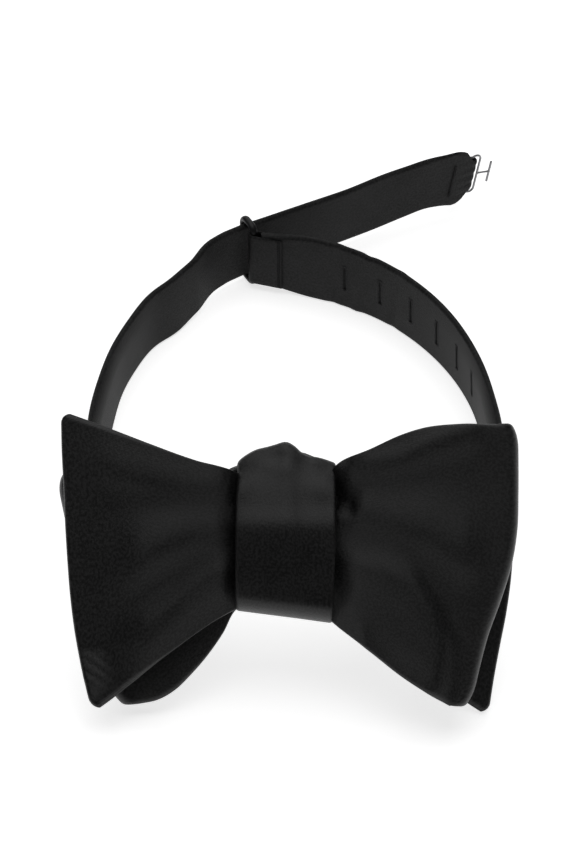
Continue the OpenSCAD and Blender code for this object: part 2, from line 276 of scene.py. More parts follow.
def nickel_finish():
    nickel = Material("dull_nickel")
    weave = nickel.node("ShaderNodeUVMap", {"uv_map": "weave"})
    long_lines = nickel.node(
        "ShaderNodeMapping", inputs={"Vector": weave, "Scale": (400, 9000, 1)}
    )
    drawn = nickel.noise(long_lines, 1.0)
    bump = nickel.bump(drawn, 0.3, 0.03 * MM)
    tone = nickel.between(
        nickel.noise(weave, 2.5 * MM), (0.16, 0.16, 0.165), (0.34, 0.34, 0.35)
    )
    return nickel.finish(
        base_color=tone, metallic=1.0, roughness=drawn * 0.2 + 0.28, normal=bump
    )


thread = thread_finish()
enamel = enamel_finish()
nickel = nickel_finish()
print("finishes:", thread.name, enamel.name, nickel.name)

# %% [markdown]
# ## From a surface to a closed piece of cloth
# Every piece of cloth starts as its middle surface: a grid of points, some across the cloth and
# some along it. A thickness is laid on both sides of it and falls away in a quarter circle at
# each sewn edge, as a turned and pressed edge does. The two sides are joined round the rim, so
# the mesh is closed. A modifier could thicken a sheet, but it would leave square edges.


# %% Cloth helper
def new_piece(name, points, faces, weave, material):
    """A smooth-shaded mesh object, with a weave map that gives metres along and across."""
    mesh = bpy.data.meshes.new(name)
    mesh.from_pydata([tuple(p) for p in points], [], faces)
    layer = mesh.uv_layers.new(name="weave")
    corner_points = np.array([loop.vertex_index for loop in mesh.loops])
    layer.data.foreach_set("uv", np.asarray(weave)[corner_points].astype(np.float32).ravel())
    mesh.polygons.foreach_set("use_smooth", [True] * len(mesh.polygons))
    mesh.materials.append(material)
    piece = bpy.data.objects.new(name, mesh)
    bpy.context.scene.collection.objects.link(piece)
    return piece


def gaps(line):
    """The distance along a line of points, from its first one."""
    steps = np.linalg.norm(np.diff(line, axis=0), axis=1)
    return np.concatenate([[0], np.cumsum(steps)])


def quads(here, after):
    """Four-sided faces between rows of point numbers and the rows that follow them."""
    corners = [here[:, :-1], after[:, :-1], after[:, 1:], here[:, 1:]]
    return np.stack(corners, axis=-1).reshape(-1, 4)


def two_sided(name, middle, along, half, faces, rim, material, row):
    """A piece with a thickness on both sides of its middle. The weave is measured on one row."""
    rows, columns = middle.shape[:2]
    out = np.cross(along, np.gradient(middle, axis=1))
    out /= np.linalg.norm(out, axis=2, keepdims=True)
    near, far = middle + out * half[..., None], middle - out * half[..., None]
    u = gaps(middle[:, columns // 2])[:, None] * np.ones((1, columns))
    v = gaps(middle[row])[None, :] * np.ones((rows, 1))
    weave = np.stack([u, v], axis=-1).reshape(-1, 2)
    back = faces[:, [0, 3, 2, 1]] + rows * columns
    return new_piece(
        name, np.concatenate([near.reshape(-1, 3), far.reshape(-1, 3)]),
        np.concatenate([faces, back, *rim]).tolist(), np.concatenate([weave, weave]), material,
    )


def cloth(name, middle, half, material):
    """A closed piece of cloth round a grid of middle points, half as thick on each side."""
    count = middle.shape[0] * middle.shape[1]
    index = np.arange(count).reshape(middle.shape[:2])
    rim = np.concatenate([index[:, 0], index[-1, 1:], index[-2::-1, -1], index[0, -2:0:-1]])
    after = np.roll(rim, -1)
    edge = np.stack([rim, rim + count, after + count, after], axis=-1)
    return two_sided(
        name, middle, np.gradient(middle, axis=0), half, quads(index[:-1], index[1:]), [edge],
        material, len(middle) // 2,
    )


EDGE = 1.1 * MM


def stops(length, count, fine_start=True, fine_end=True):
    """Distances from 0 to length, with close ones at a sewn edge to carry its roundness."""
    close = np.array([0, 0.05, 0.2, 0.45, 0.75]) * EDGE
    start = close if fine_start else close[:1]
    end = length - (close if fine_end else close[:1])[::-1]
    inner = np.linspace(EDGE, length - EDGE, count)
    return np.concatenate([start, inner, end])


def to_edge(at):
    """How far places between two sewn edges are from the nearer one."""
    return np.minimum(at, at[-1] - at)


def rounded(distance, thickness):
    """Half the thickness at that distance from a sewn edge."""
    near_edge = 1 - np.clip(distance / EDGE, 0, 1)
    return thickness / 2 * np.sqrt(np.maximum(1 - near_edge**2, 0.02))


def ease(x):
    """A smooth step from 0 to 1."""
    x = np.clip(x, 0, 1)
    return x * x * (3 - 2 * x)


def curve(points, at, even=False):
    """A smooth curve through a few points, read at values from 0 to 1 along it. The points
    sit at even steps, or as far apart as they really are."""
    points = np.asarray(points, float)
    seat = np.linspace(0, 1, len(points)) if even else gaps(points) / gaps(points)[-1]
    slope = np.gradient(points, seat, axis=0)
    at = np.clip(np.asarray(at, float), 0, 1)
    i = np.clip(np.searchsorted(seat, at, side="right") - 1, 0, len(seat) - 2)
    width = (seat[i + 1] - seat[i])[..., None]
    t = ((at - seat[i]) / (seat[i + 1] - seat[i]))[..., None]
    return (
        (2 * t**3 - 3 * t**2 + 1) * points[i] + (t**3 - 2 * t**2 + t) * width * slope[i]
        + (3 * t**2 - 2 * t**3) * points[i + 1] + (t**3 - t**2) * width * slope[i + 1]
    )


# %% [markdown]
# ## Folds that run out from the knot
# Where the knot squeezes a blade, folds start at the knot and fan out over the wing. Each fold is
# a crest line on the wing, and the cloth slopes off it on both sides, each with a width of its
# own. The fold rises within a quarter of its length and dies away before the hem.


# %% Fold helper
def fold(x, z, line, height, above, below, fade=0.92):
    """How far a fold lifts the cloth at places (x, z), for a crest along a few points.
    above and below are how far it spreads: at its start by the knot, and at its end."""
    crest = curve(np.array(line) * MM, np.linspace(0, 1, 60))
    crest_z = np.interp(x, crest[:, 0], crest[:, 1])
    reach = np.clip((x - crest[0, 0]) / (crest[-1, 0] - crest[0, 0]), 0, 1.3)
    off = z - crest_z
    upper, lower = (a + (b - a) * reach for a, b in (above, below))
    spread = np.where(off > 0, upper, lower) * MM
    strength = ease(reach / 0.25) * (1 - ease((reach - fade) / 0.4))
    return height * MM * strength * np.exp(-((off / spread) ** 2))


def ripple(x, z, seed, size, height):
    """Slow, shallow unevenness of pressed cloth: a few sine waves of different headings."""
    rng = np.random.default_rng(seed)
    total = np.zeros(np.shape(x))
    for _ in range(7):
        heading, phase = rng.uniform(0, math.pi), rng.uniform(0, 2 * math.pi)
        pitch = size * MM * rng.uniform(0.6, 1.6)
        total += np.sin(
            (x * math.cos(heading) + z * math.sin(heading)) * 2 * math.pi / pitch + phase
        )
    return total * height * MM / 7


# %% [markdown]
# ## A wing's outline
# A wing is a sheet between a bottom edge and a top edge, each given by a few points from inside
# the knot outwards. Rows run from one edge to the other, so they fan out as the cloth does.


# %% Outline helper
def wing_sheet(bottom, top, share_out, share_up, hem_line=(0, 0, 0), corner=2.0):
    """Places (x, z) of a wing's grid. hem_line is how far the hem bows out, in mm, at even
    steps from its lower corner to its upper one. corner is the radius of both corners."""
    low = curve(np.array(bottom) * MM, share_out)
    high = curve(np.array(top) * MM, share_out)
    up = share_up[None, :, None]
    flat = low[:, None] * (1 - up) + high[:, None] * up
    hem = ease((share_out - 0.4) / 0.6)[:, None]
    side = np.sign(flat[-1, 0, 0])
    out = curve(np.array(hem_line)[:, None], share_up, even=True)[:, 0]
    length = np.linalg.norm(high[-1] - low[-1]) / MM
    from_tip = np.clip(1 - np.minimum(share_up, 1 - share_up) * length / corner, 0, 1)
    out = out - corner * (1 - np.sqrt(1 - from_tip**2))
    flat[..., 0] += side * hem * out[None, :] * MM
    return flat


def tucked(x, z, depth, top):
    """Near the knot the top of a wing goes back under the wrap, by up to top mm."""
    beside = 1 - ease((np.abs(x) / MM - 12.5) / 6)
    return depth + top * MM * beside * ease((z / MM - 6) / 12)


def outward(x):
    """0 beside the knot, rising smoothly to 1 near a wing's hem. x counts away from the knot."""
    return ease((x - 14 * MM) / (50 * MM))


CLOTH = 2.0 * MM
WING_STEPS = 74
UP_STEPS = 104


def wing_grid(length, height):
    """Distances out and up a hemmed wing, and the same as shares from 0 to 1."""
    out = stops(length, WING_STEPS, fine_start=False)
    up = stops(height, UP_STEPS)
    return out, up, out / length, up / height


def thick(out, up):
    """Half the cloth's thickness over a wing: thin at its two long edges and at its hem."""
    return rounded(np.minimum(to_edge(up)[None, :], (out[-1] - out)[:, None]), CLOTH)


def place(flat, depth):
    """Grid places (x, z) at a depth y of the bow, as points in the frame."""
    return from_bow(np.stack([flat[..., 0], depth, flat[..., 1]], axis=-1))


# %% [markdown]
# ## Front blade, left: the flat hemmed end
# This wing lies in front on the left. Its hem bows out a little between two small round corners,
# and three folds run into the knot. Near the lower corner the seam pulls the cloth into short
# puckers and the corner curls forward.

# %% Front left wing
FRONT_LEFT_Y = -5.4 * MM


def front_left_depth(x, z):
    x = -x
    lift = fold(
        x, z, [(12, 2.5), (20, 2.5), (26, 2), (32, 0), (38, -3), (44, -7), (50, -12)],
        3.2, (8, 11), (8, 9), 0.75,
    )
    lift += fold(
        x, z, [(12, -7.5), (20, -10.5), (26, -14), (32, -19), (38, -24), (46, -30)],
        2.9, (5.5, 7), (8, 12), 0.8,
    )
    lift += fold(x, z, [(12, 15.5), (26, 16), (38, 17.5), (52, 21)], 1.6, (6, 8), (5, 6), 0.85)
    curl = ease((x - 46 * MM) / (9 * MM))
    lift += 0.26 * curl * np.maximum(-31 * MM - z, 0)
    lift += ripple(x, z, 3, 34, 0.35)
    puckers = np.exp(-(((x - 54 * MM) / (5 * MM)) ** 2) - ((z + 37 * MM) / (4.5 * MM)) ** 2)
    lift += 0.13 * MM * puckers * np.sin((x * 0.7 - z) * 2 * math.pi / (3.1 * MM))
    sweep = outward(x)
    depth = FRONT_LEFT_Y + (0.8 * sweep - 1.2 * 4 * sweep * (1 - sweep)) * MM - lift
    return tucked(x, z, depth, 4.6)


out, up, share_out, share_up = wing_grid(54 * MM, 82 * MM)
flat = wing_sheet(
    [(-8, -17.0), (-14.4, -19.4), (-34, -32.0), (-55.3, -46.9)],
    [(-8, 13.5), (-12.6, 17.8), (-15.4, 19.4), (-26, 22.5), (-38, 26.7), (-63.6, 35.6)],
    share_out, share_up, (0, 1.6, 2.6, 2.9, 2.7, 2.3, 1.7, 1.2, 0.4), 2.6,
)
front_left_wing = cloth(
    "front_left_wing_cloth", place(flat, front_left_depth(flat[..., 0], flat[..., 1])),
    thick(out, up), bow_satin,
)
print("front left wing:", len(front_left_wing.data.polygons), "faces")

# %% [markdown]
# ## Wings that fold back on themselves
# The other end of each blade is a loop: the cloth runs out, turns round a soft edge and runs back
# to the knot behind itself. One sheet makes both layers. A path seen from above gives the depth,
# and the outline is read twice, once on the way out and once on the way back.


# %% Folded wing helper
def folded_wing(name, bottom, top, near_depth, far_depth, turn, hem_line, corner):
    """Both layers of a folded wing. The depths are functions of (x, z), and turn is how far
    the layers stand apart where they meet the fold, which rounds off the last stretch."""
    half_turn = turn / 2
    run = 50 * MM
    out = stops(run, WING_STEPS, False, False)
    bend = np.linspace(0, math.pi, 15)[1:-1]
    share = np.concatenate([out / run, 1 + np.zeros(len(bend)), out[::-1] / run])
    swell = np.concatenate([np.zeros(len(out)), np.sin(bend), np.zeros(len(out))]) * half_turn
    layer = np.concatenate([np.zeros(len(out)), (1 - np.cos(bend)) / 2, np.ones(len(out))])
    up = stops(80 * MM, UP_STEPS)
    flat = wing_sheet(bottom, top, share, up / up[-1], hem_line, corner)
    side = np.sign(flat[len(out), 0, 0])
    near = near_depth(flat[..., 0], flat[..., 1])
    far = np.maximum(far_depth(flat[..., 0], flat[..., 1]), near + 2.4 * MM)
    closing = ease((np.minimum(share, 1) - 0.80) / 0.20)[:, None]
    middle_of_edge = (near[len(out)] + far[len(out)])[None, :] / 2
    near = near * (1 - closing) + (middle_of_edge - half_turn) * closing
    far = far * (1 - closing) + (middle_of_edge + half_turn) * closing
    depth = near * (1 - layer[:, None]) + far * layer[:, None]
    flat[..., 0] += side * swell[:, None]
    half = rounded(to_edge(up)[None, :] * np.ones((len(share), 1)), CLOTH)
    return cloth(name, place(flat, depth), half, bow_satin)


# %% [markdown]
# ## Front blade, right: its fold
# The knot bites hard into this side, so a pocket opens beside the knot and four folds fan out
# above, beside and below it.

# %% Front right wing
FRONT_RIGHT_Y = -7.0 * MM


def front_right_near(x, z):
    lift = fold(
        x, z, [(11, 7), (22, 7.5), (28, 6), (34, 4), (40, 2), (46, -1.5), (52, -5)],
        2.9, (6, 13), (7, 9), 0.9,
    )
    lift += fold(
        x, z, [(12, -6.5), (22, -9), (28, -10.5), (34, -14), (40, -23), (46, -33)],
        3.3, (5.5, 9), (10, 17), 0.8,
    )
    lift += fold(
        x, z, [(12, 20.5), (22, 21.5), (30, 22.5), (37, 25.5), (46, 29), (54, 31)],
        2.2, (4, 5), (5, 6.5), 0.85,
    )
    lift += fold(x, z, [(13, -26), (28, -39), (47, -51)], 4.2, (9, 14), (8, 9), 0.8)
    drop_in = ease((19.5 * MM - z) / (12 * MM)) * (1 - ease((11.0 * MM - z) / (6.5 * MM)))
    beside_knot = 1 - ease((x - 17.6 * MM) / (3.6 * MM))
    lift += ripple(x, z, 8, 32, 0.35) - 3.0 * MM * drop_in * beside_knot
    sweep = outward(x)
    depth = FRONT_RIGHT_Y + (-1.2 * sweep - 0.7 * 4 * sweep * (1 - sweep)) * MM - lift
    return tucked(x, z, depth, 5.0)


def front_right_far(x, z):
    sweep = outward(x)
    depth = FRONT_RIGHT_Y + (3.4 - 0.6 * sweep) * MM + ripple(x, z, 4, 30, 0.25)
    return tucked(x, z, depth, 2.2)


front_right_wing = folded_wing(
    "front_right_wing_cloth",
    [(8, -18.9), (12.6, -23.2), (17.4, -26.9), (31.6, -37.4), (40.5, -42.4), (48.0, -46.3)],
    [(8, 14), (12, 19.4), (14.6, 21.8), (22.7, 25.4), (31.6, 29.5), (38.5, 31.5), (49.3, 32.6),
     (61.0, 32.6)],
    front_right_near, front_right_far, 5.0 * MM,
    (0, 0.6, 1.6, 3.5, 4.9, 4.9, 3.6, 2.0, 0.2), 2.8,
)
print("front right wing:", len(front_right_wing.data.polygons), "faces")

# %% [markdown]
# ## Back blade
# Behind the front blade, the back one points the other way: its fold is on the left, with a
# round lower edge that shows under the front wing.

# %% Back left wing
BACK_LEFT_Y = -1.1 * MM


def back_left_near(x, z):
    sweep = outward(-x)
    depth = BACK_LEFT_Y + (1.9 * sweep) * MM + ripple(x, z, 21, 26, 0.3)
    return tucked(x, z, depth, 1.0)


def back_left_far(x, z):
    sweep = outward(-x)
    lift = fold(-x, z, [(12, -2), (26, -6), (46, -14)], 0.8, (5, 9), (5, 9))
    return BACK_LEFT_Y + (2.9 + 5.0 * sweep) * MM + lift + ripple(x, z, 22, 26, 0.3)


back_left_wing = folded_wing(
    "back_left_wing_cloth",
    [(-8, -16), (-14.6, -19.6), (-18.4, -26.4), (-23, -32.8), (-28.6, -38.2), (-34.4, -42.6),
     (-40, -45.2), (-45.3, -46.2)],
    [(-8, 16), (-15, 17.5), (-40, 18.5), (-62.4, 18.8)],
    back_left_near, back_left_far, 5.0 * MM, (0, 0.8, 1.2, 1.4, 1.4, 1.2, 0.9, 0.5, 0), 3.2,
)

# %% [markdown]
# The back blade's hemmed end is on the right, where a strip of it shows past the front wing. It
# is one layer, so it is made as the front left wing is, with a single shallow fold.

# %% Back right wing
BACK_RIGHT_Y = 0.4 * MM


def back_right_depth(x, z):
    sweep = outward(x)
    lift = fold(x, z, [(12, 2), (28, 4), (50, 6)], 0.7, (5, 9), (5, 9))
    depth = BACK_RIGHT_Y + 3.0 * MM * sweep + lift + ripple(x, z, 31, 28, 0.3)
    return tucked(x, z, depth, 3.0)


out, up, share_out, share_up = wing_grid(56 * MM, 78 * MM)
flat = wing_sheet(
    [(8, -16), (14.6, -20), (34, -34), (56.9, -48.6)],
    [(8, 16), (15, 18), (40, 22.5), (65.0, 25)],
    share_out, share_up, (0, 0.4, 1.1, 1.9, 2.2, 1.9, 1.2, 0.4, -0.4), 2.4,
)
back_right_wing = cloth(
    "back_right_wing_cloth", place(flat, back_right_depth(flat[..., 0], flat[..., 1])),
    thick(out, up), bow_satin,
)
print("back wings:", back_left_wing.name, back_right_wing.name)

# %% [markdown]
# ## Knot
# The wrap goes down the front of the bow, under it and up the back. It is a closed band, so its
# grid runs round a side view of the knot and, at each step, from the left edge to the right one.
# The front is full in its lower half and slopes back in its upper half, up to a crumpled ridge on
# top of the knot. The wrap reaches a little lower on the right than on the left.

# %% Knot wrap
WRAP = 1.7 * MM
WRAP_SHIFT = -0.6 * MM
WRAP_HALF = KNOT_HALF + 0.35 * MM
RIDGE = curve(np.array([
    (-15, 20.4), (-12.8, 22.7), (-9.2, 24.8), (-6, 25.6), (-3, 26.3), (-0.6, 26.7), (1.3, 25.8),
    (3.2, 24.3), (5.2, 23.4), (7.6, 22.8), (10.5, 22.0), (14.5, 20.7),
]), np.linspace(0, 1, 200))


def wrap_section(x):
    """The side view (y, z) of the wrap at a place across the knot, going round from the top."""
    lean_out = x / KNOT_HALF
    bottom = -20.9 - 1.75 * lean_out
    ridge = float(np.interp(x / MM, RIDGE[:, 0], RIDGE[:, 1]))
    return np.array([
        (3.5, ridge), (-0.9, ridge - 0.35), (-2.9, ridge - 3.4), (-6.2, min(15.5, ridge - 6.6)),
        (-8.6, 9.5), (-10.8, 4.2), (-11.4, -1.0), (-11.4, -7.0), (-11.1, -13.0),
        (-10.2, bottom + 2.6), (-6.8, bottom + 0.5), (-2.0, bottom), (4.0, bottom + 0.4),
        (8.6, bottom + 3.0),
        (10.4, bottom + 9.0), (10.9, 0.0), (10.6, 8.0), (9.2, min(14.5, ridge - 7.5)),
        (6.8, ridge - 2.6), (3.5, ridge),
    ]) * MM


def closed_cloth(name, middle, half, material):
    """Cloth whose rows close into a ring, such as a wrap. The first row follows the last."""
    count = middle.shape[0] * middle.shape[1]
    index = np.arange(count).reshape(middle.shape[:2])
    after = np.roll(index, -1, axis=0)
    left = [index[:, 0], index[:, 0] + count, after[:, 0] + count, after[:, 0]]
    right = [index[:, -1], after[:, -1], after[:, -1] + count, index[:, -1] + count]
    along = np.roll(middle, -1, axis=0) - np.roll(middle, 1, axis=0)
    return two_sided(
        name, middle, along, half, quads(index, after), [np.stack(left, -1), np.stack(right, -1)],
        material, 0,
    )


across_knot = stops(2 * WRAP_HALF, 44)
round_knot = np.linspace(0, 1, 150, endpoint=False)
wrap = np.zeros((len(round_knot), len(across_knot), 3))
for column, distance in enumerate(across_knot):
    x = distance - WRAP_HALF + WRAP_SHIFT
    section = curve(wrap_section(x), round_knot)
    wrap[:, column] = np.column_stack([np.full(len(section), x), section])
# The wrap's right edge comes in a little towards the bottom, and its left edge at the top.
wrap_z = wrap[..., 2]
right_edge = ease((wrap[..., 0] - 2 * MM) / (12 * MM))
left_edge = ease((-wrap[..., 0] - 4 * MM) / (11 * MM))
wrap[..., 0] -= (0.8 * right_edge * ease((4 * MM - wrap_z) / (24 * MM))) * MM
wrap[..., 0] += 0.5 * left_edge * ease((wrap_z - 8 * MM) / (12 * MM)) * MM
on_front = ease(-wrap[..., 1] / (6 * MM))
wrap[..., 1] -= on_front * ripple(wrap[..., 0], wrap_z, 12, 24, 0.35)
on_top = ease((wrap_z - 17 * MM) / (6 * MM))
crumple = ripple(wrap[..., 0], wrap[..., 1], 17, 11, 0.6)
wrap[..., 2] += on_top * crumple
wrap[..., 1] -= on_top * ripple(wrap[..., 0], wrap_z, 9, 10, 0.8)
wrap_edge = to_edge(across_knot)[None, :]
knot_wrap = closed_cloth(
    "knot_wrap_cloth", from_bow(wrap), rounded(wrap_edge, WRAP) * np.ones((len(round_knot), 1)),
    bow_satin,
)
print("knot wrap:", len(knot_wrap.data.polygons), "faces")

# %% [markdown]
# ## Inside the knot
# A roll of cloth fills the top of the knot and peeps out to its left, where the wrap comes over.
# Under the wrap, each blade is gathered into pleats. They show as a few dark folds at the knot's
# sides, so they are made as pleated cloth and not as a block.


# %% Tuck and pleats
def tuck_shape():
    angle = np.linspace(0, 2 * math.pi, 56, endpoint=False)
    place_x = np.linspace(-17.2, 12.6, 60)
    end = 1 - np.abs((place_x + 2.3) / 14.95) ** 3.2
    grid = np.zeros((len(angle), len(place_x), 3))
    radius = np.sqrt(np.maximum(end, 0.0)) * (3.4 + 0.5 * np.sin(place_x * 0.55))
    creases = 1 + 0.10 * np.sin(3 * angle[:, None] + place_x[None, :] * 0.5)
    grid[..., 0] = place_x[None, :]
    grid[..., 1] = 4.2 + 1.25 * radius * np.cos(angle)[:, None] * creases
    height = 20.9 + 0.8 * np.exp(-(((place_x + 3) / 9) ** 2)) - 1.9 * ease((-place_x - 9) / 7)
    grid[..., 2] = height + 0.9 * radius * np.sin(angle)[:, None] * creases
    return grid * MM


def capped_tube(name, grid, material):
    """A closed skin over rings of points: grid[ring step, along]. Each end gets one point."""
    steps, count = grid.shape[:2]
    index = np.arange(steps * count).reshape(steps, count)
    after = np.roll(index, -1, axis=0)
    faces = quads(index, after).tolist()
    first, last = steps * count, steps * count + 1
    faces += [[int(index[i, 0]), first, int(after[i, 0])] for i in range(steps)]
    faces += [[int(index[i, -1]), int(after[i, -1]), last] for i in range(steps)]
    ends = [grid[:, 0].mean(0), grid[:, -1].mean(0)]
    u = gaps(grid.mean(0))[None, :] * np.ones((steps, 1))
    v = gaps(grid[:, count // 2])[:, None] * np.ones((1, count))
    weave = np.concatenate([np.stack([u, v], -1).reshape(-1, 2), [(0, 0), (u[0, -1], 0)]])
    return new_piece(name, np.concatenate([grid.reshape(-1, 3), ends]), faces, weave, material)


def pleats(name, middle_y, middle_z, depth, half_height, count):
    """Cloth folded to and fro across the knot: a zigzag from bottom to top."""
    up = stops(2 * half_height * MM, 90)
    share = up / up[-1]
    x = np.linspace(-KNOT_HALF - 0.4 * MM, KNOT_HALF + 0.4 * MM, 16)
    grid = np.zeros((len(x), len(up), 3))
    grid[..., 0] = x[:, None]
    wave = np.sin(share * 2 * math.pi * count)
    grid[..., 1] = (middle_y + depth / 2 * wave)[None, :] * MM
    grid[..., 2] = (middle_z + (share * 2 - 1) * half_height)[None, :] * MM
    edge = to_edge(up)[None, :] * np.ones((len(x), 1))
    return cloth(name, from_bow(grid), rounded(edge, 1.2 * MM), bow_satin)


knot_tuck = capped_tube("knot_tuck_cloth", from_bow(tuck_shape()), bow_satin)
front_pleats = pleats("front_blade_pleats", -5.3, -2.2, 2.4, 14.6, 4)
back_pleats = pleats("back_blade_pleats", 0.3, -0.6, 2.4, 15.6, 4)
print("inside the knot:", knot_tuck.name, front_pleats.name, back_pleats.name)

# %% [markdown]
# ## Neckband
# The neckband starts as a narrow neck inside the knot and turns upright as it comes round the
# side of the loop, and from there it stands on its edge along an arc to the ring. Each half is
# one strip. Its stations give the middle of the strip, its lean and its width.

# %% Neckband route
SIDE_LEFT, SIDE_RIGHT = (-57.9, -10.7), (61.3, -16.7)
LEFT_RADIUS, RIGHT_RADIUS = 114.05, 94.31
LEFT_TURN, RIGHT_TURN = 50.08, 76.22
LEFT_WIDTH, RIGHT_WIDTH, TAIL_WIDTH = 21, 24, 20
TAIL_ANGLE, TAIL_LIFT, TAIL_LONG = 28, 2.15, 82.0
LOOP_MIDDLE = np.array([1.4, 0.0])
KNOT_SIDE = 13.75
ARC_START, ARC_STEPS = 1.0, 90
STRIP_STEPS = 34


def neck_route(side, band_width, knot_depth):
    """Stations from inside the knot to the side of the loop: (x, y, z, lean, width), in mm
    and degrees. z is the middle of the strip."""
    sign = math.copysign(1, side[0])
    knot = from_bow(np.array([0, knot_depth, -2]) * MM) / MM
    route = [(sign * x, knot[1], knot[2], LEAN, band_width) for x in (2, 7, 11)]
    for angle in np.linspace(90, 2, 46):
        s = ease(angle / 90)
        turn = math.radians(angle)
        route.append((
            side[0] + (sign * KNOT_SIDE - side[0]) * (1 - math.cos(turn)),
            side[1] + (knot[1] - side[1]) * math.sin(turn) ** 1.3,
            band_width / 2 + (knot[2] - band_width / 2) * s,
            s * LEAN,
            band_width,
        ))
    return route


def arc_route(side, radius, turn, band_width):
    """Stations along an upright arc, from just past the side of the loop towards the ring."""
    sign = math.copysign(1, side[0])
    angles = np.radians(np.linspace(ARC_START, turn, ARC_STEPS))
    return [
        (side[0] - sign * radius * (1 - math.cos(a)), side[1] + radius * math.sin(a),
         band_width / 2, 0.0, band_width)
        for a in angles
    ]


def share_at(route, station):
    """How far along a route one of its stations is, from 0 to 1."""
    spots = gaps(np.array(route)[:, :3])
    return spots[station] / spots[-1]


def strip(route, shape, extra=(), fine=(True, True)):
    """A grid of middle points of a strip along stations. shape gives the sideways shift
    (inwards is positive) and the drop at (share along, share up). extra are more places
    along the strip that need a row. Also gives the rows' places and the edge distances."""
    route = np.array(route, float)
    spots = gaps(route[:, :3])
    length = spots[-1]
    at = stops(length * MM, max(12, int(length / 1.1)), *fine) / MM
    at = np.unique(np.concatenate([at, np.asarray(extra, float)]))
    at = at[np.concatenate([[True], np.diff(at) > 0.03])]
    station = np.column_stack([np.interp(at, spots, route[:, k]) for k in range(5)])
    heading = np.gradient(station[:, :2], at, axis=0)
    heading /= np.linalg.norm(heading, axis=1, keepdims=True)
    inwards = np.column_stack([-heading[:, 1], heading[:, 0]])
    inwards *= np.sign((inwards * (LOOP_MIDDLE - station[:, :2])).sum(1))[:, None]
    across = stops(station[:, 4].max() * MM, STRIP_STEPS) / MM
    share = across / across[-1]
    lean = np.radians(station[:, 3])[:, None]
    height = (share[None, :] - 0.5) * station[:, 4, None]
    shift, drop = shape(at[:, None] / length, share[None, :])
    side_shift = height * np.sin(lean) + shift
    grid = np.zeros((len(at), len(across), 3))
    for k in (0, 1):
        grid[..., k] = station[:, k, None] + inwards[:, k, None] * side_shift
    grid[..., 2] = station[:, 2, None] + height * np.cos(lean) - drop
    edge = np.minimum(share, 1 - share)[None, :] * station[:, 4, None]
    for wanted, distance in zip(fine, (at, length - at)):
        if wanted:
            edge = np.minimum(edge, distance[:, None])
    return grid, at, edge


def near(share, spot, reach):
    """1 at a place along a strip, falling smoothly to 0 away from it."""
    return np.exp(-(((share - spot) / reach) ** 2))


def rolled_top(up, amount):
    """At the sides of the loop the band's upper edge rolls outwards and down."""
    past = np.clip((up - 0.66) / 0.34, 0, 1)
    return -3.0 * amount * past**1.6, 2.3 * amount * past**2.2


# %% [markdown]
# ## Left half of the band and the free tail
# On the real tie this is one strip: it runs from the knot round the left side, through the ring
# and out to the hook. It is one mesh here too. Its inner face looks up a little at the side of
# the loop. At its far end it is folded round the inner side of the hook's loop, which leans, and
# sewn down behind itself. There the strip goes from its full thickness to one thin layer.

# %% Left route
tail_turn = math.radians(TAIL_ANGLE)
tail_way = np.array([math.cos(tail_turn), math.sin(tail_turn), 0])
tail_left = np.array([-tail_way[1], tail_way[0], 0])
left_arc = arc_route(SIDE_LEFT, LEFT_RADIUS, LEFT_TURN, LEFT_WIDTH)
tail_origin = np.array([*left_arc[-1][:2], 0]) + 0.5 * tail_way
TAIL_LOW = [(-3, 0), (38, 0), (50, 0.4), (61, 1.3), (69, 1.8), (75, 1.2), (79.5, 0.6), (81.6, 1.1),
            (83.2, 2.5), (84.2, 3.8), (88, 4.2), (100, 4.4)]
TAIL_HIGH = [(-3, 20), (16, 20), (30, 20.3), (45, 20.2), (60, 20.6), (75, 21.4), (79.6, 21.2),
             (81.8, 19.8), (83.2, 17.2), (84.2, 16.0), (88, 15.6), (100, 15.4)]
FOLD_AT = TAIL_LONG + 2.4
FOLD_RADIUS = 1.42
FOLD_BACK = 8.0


def edge_height(table, distance):
    line = curve(np.array(table, float), np.linspace(0, 1, 300))
    return np.interp(distance, line[:, 0], line[:, 1])


def tail_route():
    """Stations along the tail, round the hook's bar and back, with their cloth thickness."""
    stations, thickness = [], []
    path = [(a, -FOLD_RADIUS * ease((a - 66) / 16)) for a in np.linspace(2.5, FOLD_AT, 110)]
    turn = np.radians(np.linspace(-90, 90, 17))[1:]
    path += [(FOLD_AT + FOLD_RADIUS * math.cos(t), FOLD_RADIUS * math.sin(t)) for t in turn]
    path += [(FOLD_AT - a, FOLD_RADIUS + 0.15 * a / FOLD_BACK)
             for a in np.linspace(0.6, FOLD_BACK, 12)]
    walked = np.concatenate([[0], np.cumsum(np.hypot(*np.diff(np.array(path), axis=0).T))]) + 2.5
    for (a, b), s in zip(path, walked):
        low, high = edge_height(TAIL_LOW, s), edge_height(TAIL_HIGH, s)
        x, y, _ = tail_origin + a * tail_way + b * tail_left
        stations.append((x, y, TAIL_LIFT + (low + high) / 2, 0.0, high - low))
        thickness.append(2.1 - 1.1 * ease((s - 68) / 14))
    return stations, thickness


neck = neck_route(SIDE_LEFT, LEFT_WIDTH, 4.8)
# The last stretch before the ring rises and narrows to the tail's height and width.
arc = []
for k, (x, y, z, lean, width) in enumerate(left_arc[:-3]):
    rise = ease((k - 58) / 22)
    arc.append((x, y, z + rise * (TAIL_LIFT + TAIL_WIDTH / 2 - z), lean,
                width + rise * (TAIL_WIDTH - width)))
tail_stations, tail_thickness = tail_route()
left_route = neck + arc + tail_stations
left_side = share_at(left_route, len(neck))
left_ring = share_at(left_route, len(neck) + len(arc))
left_spots = gaps(np.array(left_route)[:, :3])
left_length = left_spots[-1]
print(f"left half with tail: {left_length:.0f} mm, ring at {left_ring:.2f} of it")


